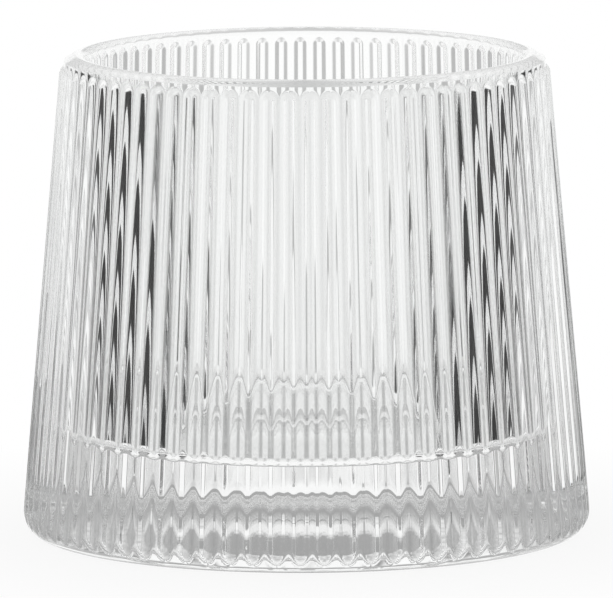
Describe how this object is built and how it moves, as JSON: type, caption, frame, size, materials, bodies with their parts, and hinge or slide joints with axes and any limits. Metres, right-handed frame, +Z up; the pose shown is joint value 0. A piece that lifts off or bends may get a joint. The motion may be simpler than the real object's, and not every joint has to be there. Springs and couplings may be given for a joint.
{
  "type": "chai glass",
  "caption": "Small clear pressed-glass tumbler for tea, wider at its heavy base than at its rounded rim, with fine upright ribs outside and a smooth straight inside.",
  "frame": {"origin": "on the glass's own axis, in the plane of the foot ring that it stands on", "axes": "+Z up along the axis towards the rim; +X and +Y are any two level directions, with a groove between two ribs on each"},
  "size_m": [0.08, 0.08, 0.068],
  "materials": {
    "clear_glass": "clear colourless pressed glass, fire polished"
  },
  "bodies": {
    "root": {"tumbler": "clear_glass"}
  },
  "joints": []
}
